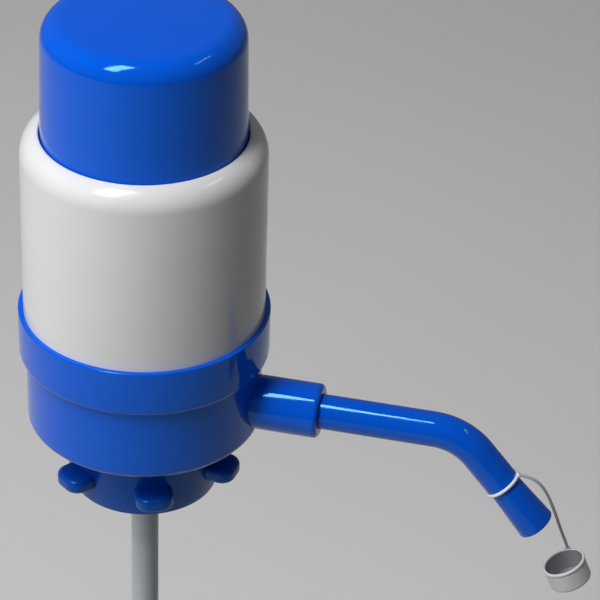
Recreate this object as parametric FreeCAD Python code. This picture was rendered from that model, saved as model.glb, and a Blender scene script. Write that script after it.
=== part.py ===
"""Hand pump for a large water jug: a bellows under a press cap drives air into the jug, and the water
leaves through a dip tube and a bent spout. Millimetres, +Z up, spout along +X. The origin is on the pump's
axis, in the plane where the jug's rim meets the neck gasket."""
import FreeCAD, Part
import math
import os

from FreeCAD import Vector

# Jug neck that the pump sits on, and the seat for its rim
neck_d = 55.0
neck_gap = 0.7
gasket_thick = 2.0
gasket_width = 7.9
gasket_gap = 0.1
floor_thick = 2.5

# Base housing: cup, collar band and neck skirt
wall = 2.6
base_h = 33.5
neck_recess = 4.5
base_edge_r = 4.0
collar_h = 21.2
collar_wall = 2.05
collar_step = 3.0
collar_flat = 0.2
rim_edge_r = 0.6
shelf_rise = 2.6
skirt_wall = 1.8
skirt_h = 20.5
boss_r = 3.6
boss_wall_bite = 0.2
air_hole_r = 2.2
air_hole_place_r = 14.0
air_hole_count = 4
screw_count = 4

# Water way through the base, and the socket for the spout
spout_z = 10.0
channel_bore_r = 4.5
channel_wall = 2.0
column_wall = 2.0
pipe_fit = 0.02
pipe_end_gap = 0.1
spigot_wall = 2.3
spigot_h = 16.0
socket_d = 23.0
socket_reach = 27.1
socket_edge_r = 2.0
socket_depth = 25.8
socket_fit = 0.1

# Sleeve
sleeve_d = 100.0
sleeve_wall = 2.2
sleeve_fit = 0.15
sleeve_show = 82.6
shoulder_r = 10.5
shoulder_width = 8.3
lip_gap = 0.4
lip_edge_r = 0.8
bead_h = 1.4
bead_rise = 0.55
bead_below_rim = 5.0

# Press cap
cap_stand = 51.7
cap_draft = 0.7
cap_edge_r = 9.0
cap_wall = 2.2
cap_land_h = 1.0
crown_bite = 0.44
rib_bite = 0.5
crown_deg = 3.5
flange_thick = 2.4
flange_gap = 1.8
stop_gap = 0.3

# Bellows and what clamps its two ends
bellows_gap = 2.0
bellows_fold = 5.8
bellows_wall = 1.2
bellows_folds = 9
bellows_flange = 1.6
bellows_cuff_h = 5.0
bellows_foot_h = 3.0
clamp_lip_thick = 1.5
clamp_side_gap = 0.2
clamp_lip_bite = 0.5
plate_thick = 3.0
plate_fit = 0.1
seal_thick = 1.0
seal_width = 3.0
top_plate_depth = 16.5
rib_wall = 3.0
top_screw_inset = 7.0
top_screw_count = 3

# Return spring
spring_to_screws = 0.9
wire_d = 2.2
spring_pitch = 12.0
spring_end_gap = 0.05
seat_ring_wall = 2.0
seat_ring_h = 4.0
seat_ring_gap = 0.4

# The two check valves, which are alike
seat_hole_r = 1.8
seat_hole_place_r = 5.0
seat_hole_count = 5
disc_r = 9.6
disc_thick = 1.4
disc_pin_gap = 0.3
disc_side_gap = 1.0
disc_lift = 1.5
disc_face_gap = 0.1
cage_wall = 1.6
cage_flange = 1.8
cage_floor = 1.2
cage_pin_r = 1.4
cage_shoulder_r = 2.6
cage_below_disc = 1.4
cage_hole_r = 1.7
cage_hole_count = 6

# Self-tapping screws
screw_core_r = 1.24
screw_tip_share = 0.3
screw_tip_h = 1.5
pilot_gap = 0.01
screw_hole_gap = 0.4
head_r = 3.1
head_h = 2.2
head_dome_share = 0.86
head_dome_rise = 0.65
head_flat_share = 0.45
recess_depth = 1.1
recess_width = 0.9
recess_length = 3.4
screw_l = 16.0
top_screw_l = 12.0
pilot_spare = 1.0

# Collet and clamp ring
collet_bore_gap = 0.15
collet_gap = 0.3
collet_wall = 1.55
collet_h = 16.5
collet_cone_h = 5.8
collet_cone_in = 0.95
collet_slots = 8
slot_width = 1.6
collet_band = 3.0
ring_gap = 0.1
ring_below_base = 0.8
ring_h = 30.5
ring_wall = 2.3
ring_taper_h = 7.5
ring_lip_wall = 2.5
ring_lip_gap = 0.8
lug_count = 6
lug_reach = 42.4
lug_width = 16.0
lug_h = 6.6
lug_tip_r = 6.0
lug_edge_r = 2.2
lug_below_ring_top = 18.3
lug_turn_deg = -8.0
lug_root_share = 0.125

# Spout tube, its seals, and what hangs from it
tube_d = 14.8
tube_wall = 2.5
bend_corner_x = 135.5
bend_deg = 49.7
bend_r = 25.0
nozzle_l = 53.1
nozzle_neck_d = 13.6
tip_d = 16.3
tip_wall = 2.5
tip_edge_r = 1.4
groove_depth = 1.5
groove_width = 2.0
oring_stand = 0.07
oring_seat_gap = 0.03
oring_from_end = 5.0
oring_spacing = 6.0
tether_from_tip = 24.3
tether_wire_r = 0.75
tether_fit = 0.05
tether_eye_r = 1.0
tether_eye_h = 0.8
strap_d = 1.3
strap_arc_share = 0.42
cap_cup_gap = 0.1
cap_cup_wall = 0.75
cap_cup_h = 9.9
cap_cup_floor = 1.0
cap_cup_edge_r = 1.3
cap_cup_bead = 0.35
cap_cup_bead_h = 1.4
cap_cup_tilt_deg = 24.3
ear_r = 1.3
ear_h = 2.4

# Dip tube, its couplings and its foot
dip_d = 11.7
dip_wall = 1.2
dip_fit = 0.05
dip_top_gap = 0.3
dip_section_l = 148.0
coupling_wall = 1.4
coupling_l = 24.0
stop_rib_h = 2.0
stop_rib_bite = 0.1
foot_l = 18.0
foot_grip_l = 10.0
foot_slots = 4
foot_slot_width = 3.0
foot_slot_h = 5.0
foot_edge = 1.0

# How far a cut runs past a face, and the most of a width that a rounding may take
cut_spare = 1.0
full_edge_share = 0.9
half_edge_share = 0.45

# Strap route from the tether ring's eye to the ear of the spout cap, which hangs at its end
strap_route = [
    (160.7, 0.0, -6.2),
    (165.5, 0.6, -6.9),
    (170.1, 1.9, -10.9),
    (173.5, 3.7, -18.0),
    (176.5, 5.4, -27.0),
    (179.4, 7.1, -36.9),
    (182.4, 9.3, -46.4),
]
cap_cup_place = (182.3, 0.0, -47.4)

# Radii and heights that follow from the sizes above
neck_r = neck_d / 2
skirt_r = neck_r + neck_gap
skirt_out_r = skirt_r + skirt_wall
sleeve_r = sleeve_d / 2
sleeve_in_r = sleeve_r - sleeve_wall
collar_in_r = sleeve_r + sleeve_fit
collar_r = collar_in_r + collar_wall
base_r = collar_r - collar_step
base_in_r = base_r - wall
floor_z = gasket_thick
base_bottom_z = -neck_recess
collar_z = base_bottom_z + base_h
rim_z = collar_z + collar_h
shelf_z = collar_z + shelf_rise
plate_z = shelf_z + seal_thick
plate_top_z = plate_z + plate_thick
lip_z = rim_z + sleeve_show
skirt_end_z = floor_z + floor_thick - skirt_h
socket_end_x = base_r + socket_reach
socket_floor_x = socket_end_x - socket_depth
socket_bore_r = tube_d / 2 + socket_fit
boss_place_r = base_in_r - boss_r + boss_wall_bite
cap_r = sleeve_r - shoulder_width
cap_top_r = cap_r - cap_draft
cap_top_z = lip_z + cap_stand
shoulder_z = lip_z - math.sqrt(shoulder_r ** 2 - (shoulder_r - shoulder_width + lip_gap + lip_edge_r) ** 2)
flange_r = sleeve_in_r - flange_gap
top_plate_z = cap_top_z - top_plate_depth - bellows_flange - plate_thick
bellows_top_z = top_plate_z + plate_thick + bellows_flange
crest_r = cap_top_r - cap_wall - bellows_gap
root_r = crest_r - bellows_fold
top_plate_r = crest_r - bellows_wall - plate_fit
top_screw_place_r = top_plate_r - top_screw_inset
seat_ring_r = top_screw_place_r - head_r - spring_to_screws
spring_mean_r = seat_ring_r - seat_ring_wall - seat_ring_gap - wire_d / 2
channel_r = channel_bore_r + channel_wall
ring_top_z = base_bottom_z - ring_below_base
tether_along = nozzle_l - tether_from_tip
nozzle_dir = Vector(math.cos(math.radians(bend_deg)), 0, -math.sin(math.radians(bend_deg)))


def tube(r_out, r_in, z_low, z_high):
    """A plain ring about the pump's axis."""
    body = Part.makeCylinder(r_out, z_high - z_low, Vector(0, 0, z_low))
    return body.cut(Part.makeCylinder(r_in, z_high - z_low, Vector(0, 0, z_low)))


def rod(r, z_low, z_high, x=0.0, y=0.0):
    """A plain round bar along Z."""
    return Part.makeCylinder(r, z_high - z_low, Vector(x, y, z_low))


def turned(start, *steps):
    """A solid of revolution about Z. A step is a point (r, z), or (through, end) for an arc."""
    here = Vector(start[0], 0, start[1])
    first = here
    edges = []
    for step in steps:
        if isinstance(step[0], tuple):
            middle = Vector(step[0][0], 0, step[0][1])
            end = Vector(step[1][0], 0, step[1][1])
            edges.append(Part.Arc(here, middle, end).toShape())
        else:
            end = Vector(step[0], 0, step[1])
            edges.append(Part.makeLine(here, end))
        here = end
    edges.append(Part.makeLine(here, first))
    return Part.Face(Part.Wire(edges)).revolve(Vector(0, 0, 0), Vector(0, 0, 1), 360)


def on_circle(cx, cz, r, degrees):
    """The point of a circle in the (r, z) plane at an angle above the outward direction."""
    angle = math.radians(degrees)
    return (cx + r * math.cos(angle), cz + r * math.sin(angle))


def bend(cx, cz, r, from_deg, to_deg):
    """The arc step of turned() that runs on a circle from one angle to another."""
    return (on_circle(cx, cz, r, (from_deg + to_deg) / 2), on_circle(cx, cz, r, to_deg))


def around(count, place_r, first_deg=0.0):
    """The places of count things on a circle about the axis."""
    turns = [math.radians(first_deg + 360.0 * k / count) for k in range(count)]
    return [(place_r * math.cos(a), place_r * math.sin(a)) for a in turns]


def along_x(shape, x, z):
    """Lays a shape made about Z along +X, with its own origin at (x, 0, z)."""
    laid = shape.copy()
    laid.rotate(Vector(0, 0, 0), Vector(0, 1, 0), 90)
    laid.translate(Vector(x, 0, z))
    return laid


def base_housing():
    """Cup, collar band, bottom, neck skirt, floor and water column, moulded as one."""
    edge_r = min(base_edge_r, base_r - skirt_out_r - wall)
    round_r = collar_step - collar_flat
    shell = turned(
        (skirt_r, base_bottom_z),
        (base_r - edge_r, base_bottom_z),
        bend(base_r - edge_r, base_bottom_z + edge_r, edge_r, -90, 0),
        (base_r, collar_z),
        (collar_r - round_r, collar_z),
        bend(collar_r - round_r, collar_z + round_r, round_r, -90, 0),
        (collar_r, rim_z - rim_edge_r),
        bend(collar_r - rim_edge_r, rim_z - rim_edge_r, rim_edge_r, 0, 90),
        (collar_in_r, rim_z),
        (collar_in_r, shelf_z),
        (base_in_r, shelf_z),
        (base_in_r, base_bottom_z + wall),
        (skirt_r, base_bottom_z + wall),
    )
    skirt = tube(skirt_out_r, skirt_r, skirt_end_z, floor_z + floor_thick)
    floor = rod(skirt_out_r, floor_z, floor_z + floor_thick)
    spigot = rod(dip_d / 2 + dip_fit + spigot_wall, floor_z - spigot_h, floor_z + floor_thick)
    column = rod(channel_r + column_wall, floor_z, spout_z + channel_r + column_wall)
    body = shell.multiFuse([skirt, floor, spigot, column])
    for x, y in around(screw_count, boss_place_r, 45):
        body = body.fuse(rod(boss_r, base_bottom_z + wall / 2, plate_z, x, y))
    pilot_r = screw_core_r + pilot_gap
    pilot_low = bellows_clamp_top_z() - screw_l - pilot_spare
    groove_top_z = groove_low_z() + bead_h + 2 * sleeve_fit
    cuts = [
        pipe_outside(pipe_fit),
        along_x(rod(channel_bore_r, 0, channel_r), 0, spout_z),
        rod(channel_bore_r, floor_z - spigot_h, spout_z),
        rod(dip_d / 2 + dip_fit, floor_z - spigot_h, 0),
        tube(collar_in_r + bead_rise, sleeve_in_r, groove_low_z(), groove_top_z),
    ]
    for x, y in around(air_hole_count, air_hole_place_r, 45):
        cuts.append(rod(air_hole_r, floor_z, floor_z + floor_thick, x, y))
    for x, y in around(screw_count, boss_place_r, 45):
        cuts.append(rod(pilot_r, pilot_low, plate_z, x, y))
    return drilled(body, cuts).removeSplitter()


def pipe_outside(gap=0.0):
    """The outlet pipe's outer form, larger by a gap where it is the hole that the pipe is bonded into."""
    socket_start = base_in_r - wall
    start = channel_bore_r + pipe_end_gap - gap
    channel = along_x(rod(channel_r + gap, 0, socket_end_x - start), start, spout_z)
    edge = min(socket_edge_r, (socket_d / 2 - socket_bore_r) * full_edge_share)
    socket_l = socket_end_x - socket_start
    socket = along_x(
        turned(
            (0, -gap),
            (socket_d / 2 + gap, -gap),
            (socket_d / 2 + gap, socket_l - edge),
            bend(socket_d / 2 + gap - edge, socket_l - edge, edge, 0, 90),
            (0, socket_l),
        ),
        socket_start,
        spout_z,
    )
    return channel.fuse(socket).removeSplitter()


def outlet_pipe():
    """Water pipe from the column through the cup's wall, with the socket for the spout at its end."""
    bore = along_x(rod(channel_bore_r, 0, socket_end_x), 0, spout_z)
    socket = along_x(rod(socket_bore_r, 0, socket_depth), socket_floor_x, spout_z)
    return pipe_outside().cut(bore).cut(socket)


def groove_low_z():
    """The lower face of the collar's groove for the sleeve's snap bead."""
    return rim_z - bead_below_rim - bead_h - sleeve_fit


def bellows_clamp_top_z():
    """The face that the base screws' heads sit on."""
    return plate_top_z + bellows_flange + clamp_lip_thick


def sleeve():
    """White outer tube: snap bead at its foot, rounded shoulder, and a lip round the cap."""
    centre_r = sleeve_r - shoulder_r
    open_r = cap_r + lip_gap
    lip_r = open_r + lip_edge_r
    out_deg = math.degrees(math.acos((lip_r - centre_r) / shoulder_r))
    inner_r = shoulder_r - sleeve_wall
    in_deg = math.degrees(math.acos((open_r - centre_r) / inner_r))
    bead_low = rim_z - bead_below_rim - bead_h
    body = turned(
        (sleeve_in_r, plate_top_z),
        (sleeve_r, plate_top_z),
        (sleeve_r, shoulder_z),
        bend(centre_r, shoulder_z, shoulder_r, 0, out_deg),
        bend(lip_r, lip_z - lip_edge_r, lip_edge_r, 90, 180),
        on_circle(centre_r, shoulder_z, inner_r, in_deg),
        bend(centre_r, shoulder_z, inner_r, in_deg, 0),
    )
    bead = turned(
        (sleeve_in_r, bead_low),
        (sleeve_r, bead_low),
        (sleeve_r + bead_rise, bead_low + bead_h / 2),
        (sleeve_r, bead_low + bead_h),
        (sleeve_in_r, bead_low + bead_h),
    )
    return body.fuse(bead).removeSplitter()


def crown(top_r, edge_r, top_z):
    """The end of the cap's edge arc, the crown's radius, and the height where the edge arc starts."""
    tilt = math.radians(crown_deg)
    end_r = top_r - edge_r + edge_r * math.sin(tilt)
    crown_r = end_r / math.sin(tilt)
    start_z = top_z - crown_r * (1 - math.cos(tilt)) - edge_r * math.cos(tilt)
    return end_r, crown_r, start_z


def press_cap():
    """Domed cap with a drafted side, a skirt that slides in the lip, and a flange that stops under it."""
    end_r, crown_r, edge_z = crown(cap_top_r, cap_edge_r, cap_top_z)
    centre_r = cap_top_r - cap_edge_r
    in_edge = cap_edge_r - cap_wall
    crown_z = cap_top_z - crown_r
    side_z = lip_z + cap_land_h
    shoulder_in = shoulder_r - sleeve_wall
    stop_in = flange_r - (sleeve_r - shoulder_r)
    flange_top = shoulder_z + math.sqrt(shoulder_in ** 2 - stop_in ** 2) - stop_gap
    half = (90 + 90 - crown_deg) / 2
    body = turned(
        (0, cap_top_z),
        (on_circle(0, crown_z, crown_r, half), on_circle(centre_r, edge_z, cap_edge_r, 90 - crown_deg)),
        bend(centre_r, edge_z, cap_edge_r, 90 - crown_deg, 0),
        (cap_r, side_z),
        (cap_r, flange_top),
        (flange_r, flange_top),
        (flange_r, flange_top - flange_thick),
        (cap_r - cap_wall, flange_top - flange_thick),
        (cap_r - cap_wall, side_z),
        (cap_top_r - cap_wall, edge_z),
        bend(centre_r, edge_z, in_edge, 0, 90 - crown_deg),
        (on_circle(0, crown_z, crown_r - cap_wall, half), (0, cap_top_z - cap_wall)),
    )
    boss_top = cap_top_z - cap_wall + crown_bite
    rib_in_r = top_plate_r - rib_wall
    rib_top = edge_z + math.sqrt(in_edge ** 2 - (top_plate_r - centre_r) ** 2) + rib_bite
    parts = [tube(top_plate_r, rib_in_r, bellows_top_z, rib_top)]
    pilot_r = screw_core_r + pilot_gap
    pilot_top = top_plate_z + top_screw_l + pilot_spare
    pilots = []
    for x, y in around(top_screw_count, top_screw_place_r, 30):
        parts.append(rod(boss_r, top_plate_z + plate_thick, boss_top, x, y))
        pilots.append(rod(pilot_r, top_plate_z + plate_thick, pilot_top, x, y))
    body = body.multiFuse(parts)
    for pilot in pilots:
        body = body.cut(pilot)
    return body.removeSplitter()


def bellows():
    """Folded soft wall with a flange at each end, and a cuff round the top plate."""
    foot_z = plate_top_z + bellows_flange + bellows_foot_h
    cuff_z = bellows_top_z - bellows_flange - bellows_cuff_h
    pitch = (cuff_z - foot_z) / (bellows_folds - 0.5)
    flange_out = root_r + bellows_fold
    steps = [(flange_out, plate_top_z), (flange_out, plate_top_z + bellows_flange)]
    steps += [(root_r, plate_top_z + bellows_flange), (root_r, foot_z)]
    for k in range(bellows_folds):
        steps.append((crest_r, foot_z + (k + 0.5) * pitch))
        if k < bellows_folds - 1:
            steps.append((root_r, foot_z + (k + 1) * pitch))
    steps += [(crest_r, bellows_top_z), (top_plate_r - rib_wall, bellows_top_z)]
    steps += [(top_plate_r - rib_wall, bellows_top_z - bellows_flange)]
    steps += [(crest_r - bellows_wall, bellows_top_z - bellows_flange)]
    for k in reversed(range(bellows_folds)):
        steps.append((crest_r - bellows_wall, foot_z + (k + 0.5) * pitch))
        if k > 0:
            steps.append((root_r - bellows_wall, foot_z + k * pitch))
    steps.append((root_r - bellows_wall, foot_z))
    return turned((root_r - bellows_wall, plate_top_z), *steps)


def return_spring():
    """Steel coil between the two spring seats."""
    low = plate_top_z + wire_d / 2 + spring_end_gap
    high = top_plate_z - wire_d / 2 - spring_end_gap
    helix = Part.makeHelix(spring_pitch, high - low, spring_mean_r)
    start = Vector(spring_mean_r, 0, 0)
    slope = Vector(0, 2 * math.pi * spring_mean_r, spring_pitch)
    section = Part.Wire([Part.makeCircle(wire_d / 2, start, slope)])
    coil = Part.Wire(helix.Edges).makePipeShell([section], True, True)
    coil.translate(Vector(0, 0, low))
    return coil


def spring_seat(z_low, z_high):
    """The ring that keeps an end of the spring centred."""
    return tube(seat_ring_r, seat_ring_r - seat_ring_wall, z_low, z_high)


def seat_holes(z_low, z_high):
    """The ring of holes that a valve disc covers."""
    return [rod(seat_hole_r, z_low, z_high, x, y) for x, y in around(seat_hole_count, seat_hole_place_r)]


def drilled(body, holes):
    """The body with each hole cut out."""
    for hole in holes:
        body = body.cut(hole)
    return body


def top_plate():
    """Disc inside the bellows' top: clamps its flange to the cap and has the intake seat."""
    z = top_plate_z
    body = rod(top_plate_r, z, z + plate_thick).fuse(spring_seat(z - seat_ring_h, z))
    hole_r = screw_core_r + screw_hole_gap
    places = around(top_screw_count, top_screw_place_r, 30)
    holes = [rod(hole_r, z, z + plate_thick, x, y) for x, y in places]
    return drilled(body, seat_holes(z, z + plate_thick) + holes)


def valve_plate():
    """Plate that closes the base and carries the bellows, with the delivery seat."""
    body = rod(collar_in_r - plate_fit, plate_z, plate_top_z)
    body = body.fuse(spring_seat(plate_top_z, plate_top_z + seat_ring_h))
    hole_r = screw_core_r + screw_hole_gap
    holes = [rod(hole_r, plate_z, plate_top_z, x, y) for x, y in around(screw_count, boss_place_r, 45)]
    return drilled(body, seat_holes(plate_z, plate_top_z) + holes)


def plate_seal():
    """Flat rubber ring between the plate and the base's shelf."""
    outer = collar_in_r - plate_fit
    return tube(outer, outer - seal_width, shelf_z, plate_z)


def bellows_clamp_ring():
    """Ring whose lip holds the bellows' lower flange down, under the heads of the base screws."""
    flange_out = root_r + bellows_fold + clamp_side_gap
    outer = boss_place_r + head_r
    lip_z_low = plate_top_z + bellows_flange
    body = tube(outer, flange_out, plate_top_z, bellows_clamp_top_z())
    lip_in = root_r + clamp_side_gap + bellows_fold / 2
    body = body.fuse(tube(flange_out + clamp_lip_bite, lip_in, lip_z_low, bellows_clamp_top_z()))
    hole_r = screw_core_r + screw_hole_gap
    places = around(screw_count, boss_place_r, 45)
    return drilled(body, [rod(hole_r, plate_top_z, bellows_clamp_top_z(), x, y) for x, y in places])


def screw(x, y, seat_z, length, up):
    """Pan-head screw. Its head sits on the plane seat_z, and its shank points down, or up."""
    body = turned(
        (0, -length),
        (screw_core_r * screw_tip_share, -length),
        (screw_core_r, -length + screw_tip_h),
        (screw_core_r, 0),
        (head_r, 0),
        ((head_r * head_dome_share, head_h * head_dome_rise), (head_r * head_flat_share, head_h)),
        (0, head_h),
    )
    for turn in (0, 90):
        slot = Part.makeBox(recess_length, recess_width, recess_depth + cut_spare)
        slot.translate(Vector(-recess_length / 2, -recess_width / 2, head_h - recess_depth))
        slot.rotate(Vector(0, 0, 0), Vector(0, 0, 1), turn)
        body = body.cut(slot)
    if up:
        body.rotate(Vector(0, 0, 0), Vector(1, 0, 0), 180)
    body.translate(Vector(x, y, seat_z))
    return body


def base_screws():
    """The screws that hold the clamp ring and the valve plate on the base's bosses."""
    places = around(screw_count, boss_place_r, 45)
    return Part.Compound([screw(x, y, bellows_clamp_top_z(), screw_l, False) for x, y in places])


def top_screws():
    """The screws that hold the top plate on the cap's bosses."""
    places = around(top_screw_count, top_screw_place_r, 30)
    return Part.Compound([screw(x, y, top_plate_z, top_screw_l, True) for x, y in places])


def valve_disc(seat_z):
    """Rubber disc, dropped open under its seat."""
    top = seat_z - disc_face_gap - disc_lift
    return tube(disc_r, cage_pin_r + disc_pin_gap, top - disc_thick, top)


def valve_cage(seat_z):
    """Slotted cup under a valve seat, with a pin that guides the disc and a shoulder that it drops on."""
    in_r = disc_r + disc_side_gap
    out_r = in_r + cage_wall
    shoulder_top = seat_z - 2 * disc_face_gap - disc_lift - disc_thick
    floor_top = shoulder_top - cage_below_disc
    cup = turned(
        (0, floor_top - cage_floor),
        (out_r, floor_top - cage_floor),
        (out_r, seat_z - cage_floor),
        (out_r + cage_flange, seat_z - cage_floor),
        (out_r + cage_flange, seat_z),
        (in_r, seat_z),
        (in_r, floor_top),
        (cage_shoulder_r, floor_top),
        (cage_shoulder_r, shoulder_top),
        (cage_pin_r, shoulder_top),
        (cage_pin_r, seat_z),
        (0, seat_z),
    )
    place = (cage_shoulder_r + in_r) / 2
    places = around(cage_hole_count, place)
    return drilled(cup, [rod(cage_hole_r, floor_top - cage_floor, floor_top, x, y) for x, y in places])


def neck_gasket():
    """Rubber ring under the floor, which the jug's rim presses on."""
    outer = neck_r - gasket_gap
    return tube(outer, outer - gasket_width, 0, gasket_thick)


def collet():
    """Slotted ring between the skirt's end and the clamp ring's cone, which closes on the neck."""
    top = skirt_end_z - collet_gap
    low = top - collet_h
    in_r = neck_r + collet_bore_gap
    out_r = in_r + collet_wall
    body = turned(
        (in_r, low),
        (out_r - collet_cone_in, low),
        (out_r, low + collet_cone_h),
        (out_r, top),
        (in_r, top),
    )
    for k in range(collet_slots):
        slot = Part.makeBox(out_r + cut_spare, slot_width, collet_h - collet_band)
        slot.translate(Vector(0, -slot_width / 2, low))
        slot.rotate(Vector(0, 0, 0), Vector(0, 0, 1), 360.0 * (k + 0.5) / collet_slots)
        body = body.cut(slot)
    return body


def clamp_ring():
    """Screw ring on the skirt: its cone squeezes the collet, and its lobes give the hand a grip."""
    low = ring_top_z - ring_h
    land_r = skirt_out_r + ring_gap
    collet_top = skirt_end_z - collet_gap
    cone_top_r = neck_r + collet_bore_gap + collet_wall + ring_gap
    cone_top_z = collet_top - collet_h + collet_cone_h
    lip_r = neck_r + ring_lip_gap
    cone_low_r = max(lip_r, cone_top_r - collet_cone_in)
    body = turned(
        (cone_low_r, low),
        (lip_r + ring_lip_wall, low),
        (land_r + ring_wall, low + ring_taper_h),
        (land_r + ring_wall, ring_top_z),
        (land_r, ring_top_z),
        (land_r, skirt_end_z),
        (cone_top_r, skirt_end_z),
        (cone_top_r, cone_top_z - ring_gap),
        (cone_low_r, collet_top - collet_h - ring_gap),
    )
    lug = grip_lug(land_r + ring_wall * lug_root_share)
    lugs = []
    for k in range(lug_count):
        copy = lug.copy()
        copy.rotate(Vector(0, 0, 0), Vector(0, 0, 1), lug_turn_deg + 360.0 * k / lug_count)
        lugs.append(copy)
    return body.multiFuse(lugs).removeSplitter()


def grip_lug(root_x):
    """One grip lobe along +X, with its root inside the ring's wall and a rounded tip."""
    half = lug_width / 2
    lug = Part.makeBox(lug_reach - root_x, lug_width, lug_h, Vector(root_x, -half, 0))
    upright = [e for e in lug.Edges if e.BoundBox.ZLength > lug_h / 2]
    tips = [e for e in upright if e.BoundBox.XMin > (root_x + lug_reach) / 2]
    lug = lug.makeFillet(min(lug_tip_r, full_edge_share * half), tips)
    level = [e for e in lug.Edges if e.BoundBox.ZLength < lug_h / 2]
    rims = [e for e in level if e.BoundBox.Center.x > root_x + lug_edge_r / 2]
    lug = lug.makeFillet(min(lug_edge_r, half_edge_share * lug_h), rims)
    lug.translate(Vector(0, 0, ring_top_z - lug_below_ring_top - lug_h / 2))
    return lug


def bend_tangent():
    """How far the bend's arc starts before the corner of the spout's centre line."""
    return bend_r * math.tan(math.radians(bend_deg / 2))


def spout_run(r, from_x, *nozzle_steps):
    """The spout's outside, or its bore: straight run, bend, and a nozzle of the given outline."""
    bend_x = bend_corner_x - bend_tangent()
    straight = along_x(rod(r, 0, bend_x - from_x), from_x, spout_z)
    disc = Part.Face(Part.Wire([Part.makeCircle(r, Vector(bend_x, 0, spout_z), Vector(1, 0, 0))]))
    elbow = disc.revolve(Vector(bend_x, 0, spout_z - bend_r), Vector(0, 1, 0), bend_deg)
    nozzle = turned((0, bend_tangent()), (r, bend_tangent()), *nozzle_steps, (0, nozzle_l))
    nozzle.rotate(Vector(0, 0, 0), Vector(0, 1, 0), 90 + bend_deg)
    nozzle.translate(Vector(bend_corner_x, 0, spout_z))
    return straight.multiFuse([elbow, nozzle])


def oring_x(number):
    """The place of an O-ring along the spout's stub."""
    return socket_floor_x + oring_from_end + number * oring_spacing


def spout_tube():
    """Bent outlet tube: a grooved stub that pushes into the socket, and a waisted nozzle that flares."""
    start_x = socket_floor_x + stop_gap
    tip_r = tip_d / 2
    shoulder = tether_along - tether_wire_r - tether_fit
    body = spout_run(
        tube_d / 2,
        start_x,
        (tube_d / 2, shoulder),
        (nozzle_neck_d / 2, shoulder),
        (tip_r, nozzle_l - tip_edge_r),
        bend(tip_r - tip_edge_r, nozzle_l - tip_edge_r, tip_edge_r, 0, 90),
    )
    bore_r = tube_d / 2 - tube_wall
    body = body.cut(spout_run(bore_r, start_x - stop_gap, (tip_r - tip_wall, nozzle_l)))
    groove = tube(tube_d / 2 + groove_depth, tube_d / 2 - groove_depth, -groove_width / 2, groove_width / 2)
    for number in range(2):
        body = body.cut(along_x(groove, oring_x(number), spout_z))
    return body.removeSplitter()


def spout_oring(number):
    """O-ring in the stub's groove."""
    outer = tube_d / 2 + oring_stand
    inner = tube_d / 2 - groove_depth + oring_seat_gap
    ring = Part.makeTorus((outer + inner) / 2, (outer - inner) / 2)
    return along_x(ring, oring_x(number), spout_z)


def tether_place():
    """The centre of the tether ring on the nozzle's axis, and the nozzle's radius there."""
    cone_l = tether_from_tip + tether_wire_r + tether_fit - tip_edge_r
    share = (tether_wire_r + tether_fit) / cone_l
    radius = nozzle_neck_d / 2 + (tip_d - nozzle_neck_d) / 2 * share
    return Vector(bend_corner_x, 0, spout_z) + nozzle_dir * tether_along, radius


def tether_ring():
    """Thin ring round the nozzle, with an eye on its upper side that the strap leaves from."""
    centre, radius = tether_place()
    middle = radius + tether_fit + tether_wire_r
    ring = Part.makeTorus(middle, tether_wire_r, centre, nozzle_dir)
    up = Vector(-nozzle_dir.z, 0, nozzle_dir.x)
    eye = Part.makeCylinder(tether_eye_r, tether_wire_r + tether_eye_h, centre + up * middle, up)
    return ring.fuse(eye).removeSplitter()


def tether_strap():
    """Thin strap as a round cord: straight runs joined by arcs as large as the runs allow."""
    points = [Vector(*p) for p in strap_route]
    runs = [(b - a).Length for a, b in zip(points, points[1:])]
    edges = []
    length = 0.0
    here = points[0]
    for before, corner, after, run_in, run_out in zip(points, points[1:], points[2:], runs, runs[1:]):
        back = (before - corner).normalize()
        on = (after - corner).normalize()
        half_turn = (math.pi - back.getAngle(on)) / 2
        cut_back = strap_arc_share * min(run_in, run_out)
        radius = cut_back / math.tan(half_turn)
        start = corner + back * cut_back
        end = corner + on * cut_back
        inward = (back + on).normalize()
        middle = corner + inward * (radius / math.cos(half_turn) - radius)
        edges.append(Part.makeLine(here, start))
        edges.append(Part.Arc(start, middle, end).toShape())
        length += (start - here).Length + 2 * half_turn * radius
        here = end
        print("strap: turn %.0f degrees, radius %.1f mm" % (math.degrees(2 * half_turn), radius))
    edges.append(Part.makeLine(here, points[-1]))
    length += (points[-1] - here).Length
    path = Part.Wire(edges)
    section = Part.Wire([Part.makeCircle(strap_d / 2, points[0], points[1] - points[0])])
    strap = path.makePipeShell([section], True, True)
    expected = math.pi * (strap_d / 2) ** 2 * length
    print("strap: length %.1f mm, volume %.2f of %.2f mm3" % (length, strap.Volume, expected))
    return strap


def spout_cap():
    """Cup that closes the nozzle's tip, hanging mouth up from its ear."""
    in_r = tip_d / 2 + cap_cup_gap
    out_r = in_r + cap_cup_wall
    edge = min(cap_cup_edge_r, cap_cup_h / 3)
    bead_r = out_r + cap_cup_bead
    cup = turned(
        (0, -cap_cup_h),
        (out_r - edge, -cap_cup_h),
        bend(out_r - edge, edge - cap_cup_h, edge, -90, 0),
        (out_r, -cap_cup_bead_h),
        (bead_r, -cap_cup_bead_h + cap_cup_bead),
        (bead_r, -cap_cup_bead),
        (out_r, 0),
        (in_r, 0),
        (in_r, cap_cup_floor - cap_cup_h),
        (0, cap_cup_floor - cap_cup_h),
    )
    ear = rod(ear_r, -ear_h, 0, 0, out_r + ear_r - cap_cup_bead)
    cup = cup.fuse(ear).removeSplitter()
    cup.rotate(Vector(0, 0, 0), Vector(0, 1, 0), -cap_cup_tilt_deg)
    cup.translate(Vector(*cap_cup_place))
    return cup


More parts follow.
